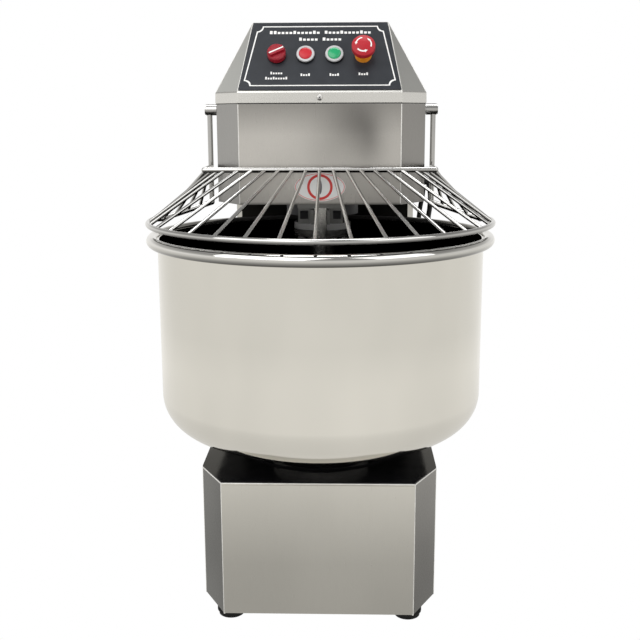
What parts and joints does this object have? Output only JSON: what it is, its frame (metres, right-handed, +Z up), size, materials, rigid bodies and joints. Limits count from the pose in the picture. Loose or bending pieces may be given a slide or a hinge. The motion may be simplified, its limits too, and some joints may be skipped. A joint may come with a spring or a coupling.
{
  "type": "spiral dough mixer",
  "caption": "Floor-standing spiral dough mixer: turning steel bowl, spiral hook and divider bar under an overhanging head, tilting wire guard and push-button panel.",
  "frame": {"origin": "floor level, at the middle of the machine's overall length and width", "axes": "+Z up, the operator stands at -Y, the column is at +Y, +X is to the operator's right"},
  "size_m": [0.521, 0.8401, 0.864],
  "materials": {
    "brushed_steel": "brushed stainless sheet",
    "polished_steel": "polished stainless",
    "machined_steel": "machined steel",
    "dark_plate": "primed steel plate",
    "cast_iron": "painted casting",
    "motor_paint": "satin enamel",
    "black_gloss": "glossy black cover",
    "black_plastic": "matt black",
    "panel_black": "glossy printed overlay",
    "label_white": "printed label",
    "black_rubber": "rubber",
    "grey_plastic": "moulded housings",
    "chrome_trim": "plated bezel",
    "red_plastic": "glossy red",
    "green_plastic": "glossy green",
    "amber_plastic": "glossy amber"
  },
  "bodies": {
    "frame": {"base_shell": "brushed_steel", "base_front_panel": "brushed_steel", "base_top_cover": "black_gloss", "floor_plate": "dark_plate", "deck_plate": "dark_plate", "levelling_feet": "black_rubber", "foot_studs": "machined_steel", "column_shell": "brushed_steel", "rear_cover": "brushed_steel", "cover_screws": "polished_steel", "head_base_plate": "dark_plate", "head_housing": "brushed_steel", "hood": "brushed_steel", "control_plate": "panel_black", "label_plate": "label_white", "bearing_housings": "cast_iron", "ball_bearings": "machined_steel", "countershaft_flanges": "cast_iron", "jackshaft_housing": "cast_iron", "motor_body": "motor_paint", "motor_mount": "dark_plate", "upper_belts": "black_rubber", "upper_chain": "machined_steel", "lower_belt": "black_rubber", "lower_chain": "machined_steel", "divider_bar": "polished_steel", "divider_bracket": "brushed_steel", "divider_bolts": "black_plastic", "guard_pivot_pins": "polished_steel", "guard_switch": "black_plastic", "guard_switch_lead": "black_rubber", "motor_lead": "black_rubber", "cable_glands": "black_plastic", "contactor_tray": "grey_plastic", "contact_blocks": "black_plastic", "control_bezels": "chrome_trim", "estop_collar": "amber_plastic"},
    "bowl": {"bowl": "polished_steel", "bowl_spindle": "machined_steel", "bowl_sprocket": "machined_steel"},
    "spiral": {"spiral_shaft": "machined_steel", "spiral_sprocket": "machined_steel", "spiral_hook": "polished_steel", "hook_bolts": "machined_steel"},
    "countershaft": {"countershaft": "machined_steel", "countershaft_pulleys": "cast_iron", "countershaft_sprocket": "machined_steel"},
    "jackshaft": {"jackshaft": "machined_steel", "jackshaft_pulley": "cast_iron"},
    "motor_rotor": {"motor_shaft": "machined_steel", "motor_pulley": "cast_iron"},
    "guard": {"guard_ring": "polished_steel", "guard_top_bar": "polished_steel", "guard_wires": "polished_steel", "guard_arms": "polished_steel"},
    "selector": {"selector_knob": "red_plastic"},
    "fast": {"fast_button": "red_plastic"},
    "slow": {"slow_button": "green_plastic"},
    "estop_plunger": {"estop_stem": "black_plastic"},
    "estop_head": {"estop_button": "red_plastic"}
  },
  "joints": [
    {"name": "bowl_spin", "type": "hinge", "parent": "frame", "child": "bowl", "pos_m": [0, -0.1596, 0.3], "axis": [0, 0, 1], "continuous": true},
    {"name": "spiral_spin", "type": "hinge", "parent": "frame", "child": "spiral", "pos_m": [0, -0.0336, 0.3], "axis": [0, 0, 1], "continuous": true},
    {"name": "countershaft_spin", "type": "hinge", "parent": "frame", "child": "countershaft", "pos_m": [0, 0.1854, 0.3], "axis": [0, 0, 1], "continuous": true},
    {"name": "jackshaft_spin", "type": "hinge", "parent": "frame", "child": "jackshaft", "pos_m": [0, 0.0304, 0.3], "axis": [0, 0, 1], "continuous": true},
    {"name": "motor_spin", "type": "hinge", "parent": "frame", "child": "motor_rotor", "pos_m": [0, 0.3424, 0.3], "axis": [0, 0, 1], "continuous": true},
    {"name": "guard_tilt", "type": "hinge", "parent": "frame", "child": "guard", "pos_m": [0, -0.0996, 0.7375], "axis": [-1, 0, 0], "range_deg": [0, 70]},
    {"name": "selector_turn", "type": "hinge", "parent": "frame", "child": "selector", "pos_m": [-0.06345, -0.14937, 0.81417], "axis": [0, -0.8735, 0.4867], "range_deg": [0, 128]},
    {"name": "fast_press", "type": "slide", "parent": "frame", "child": "fast", "axis": [0, 0.8735, -0.4867], "range_m": [0, 0.003], "stiffness_N_per_m": 600, "springref_m": -0.001},
    {"name": "slow_press", "type": "slide", "parent": "frame", "child": "slow", "axis": [0, 0.8735, -0.4867], "range_m": [0, 0.003], "stiffness_N_per_m": 600, "springref_m": -0.001},
    {"name": "estop_press", "type": "slide", "parent": "frame", "child": "estop_plunger", "axis": [0, 0.8735, -0.4867], "range_m": [0, 0.005]},
    {"name": "estop_twist", "type": "hinge", "parent": "estop_plunger", "child": "estop_head", "pos_m": [0.06345, -0.14937, 0.81417], "axis": [0, 0.8735, -0.4867], "range_deg": [0, 30], "stiffness_Nm_per_rad": 0.05, "springref_deg": -5.73}
  ],
  "couplings": [
    {"joint": "jackshaft_spin", "follows": "bowl_spin", "ratio": 5},
    {"joint": "countershaft_spin", "follows": "bowl_spin", "ratio": 20},
    {"joint": "spiral_spin", "follows": "bowl_spin", "ratio": 10},
    {"joint": "motor_spin", "follows": "bowl_spin", "ratio": 70}
  ]
}
